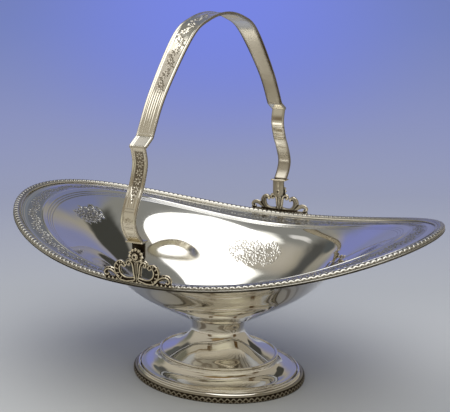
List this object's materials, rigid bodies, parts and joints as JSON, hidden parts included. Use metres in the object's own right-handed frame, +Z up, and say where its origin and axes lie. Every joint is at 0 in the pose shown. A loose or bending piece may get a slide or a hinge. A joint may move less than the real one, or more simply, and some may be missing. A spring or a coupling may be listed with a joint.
{
  "type": "centerpiece bowl",
  "caption": "Boat-shaped silver table basket on an oval pedestal foot, with a strap handle that swings on scroll brackets.",
  "frame": {"origin": "on the table, under the centre of the foot and of the bowl", "axes": "+X along the bowl towards one raised end, +Y across it from the front bracket to the back one, +Z up"},
  "size_m": [0.34, 0.2436, 0.2768],
  "materials": {
    "polished_silver": "polished",
    "strap_silver": "gloss",
    "cast_silver": "satin"
  },
  "bodies": {
    "basket": {"bowl": "polished_silver", "rim_wire": "polished_silver", "rim_border": "cast_silver", "foot_stem": "polished_silver", "foot_bead": "polished_silver", "foot_base": "polished_silver", "foot_reed": "polished_silver", "foot_border": "cast_silver", "bracket_front": "cast_silver", "bracket_back": "cast_silver", "hinge_pin_front": "polished_silver", "hinge_pin_back": "polished_silver"},
    "handle": {"handle_arch": "strap_silver", "handle_leg_front": "strap_silver", "handle_leg_back": "strap_silver", "hinge_tang_front": "cast_silver", "hinge_tang_back": "cast_silver"}
  },
  "joints": [
    {"name": "handle_swing", "type": "hinge", "parent": "basket", "child": "handle", "pos_m": [0, 0, 0.1231], "axis": [0, 1, 0], "range_deg": [-75, 75]}
  ]
}
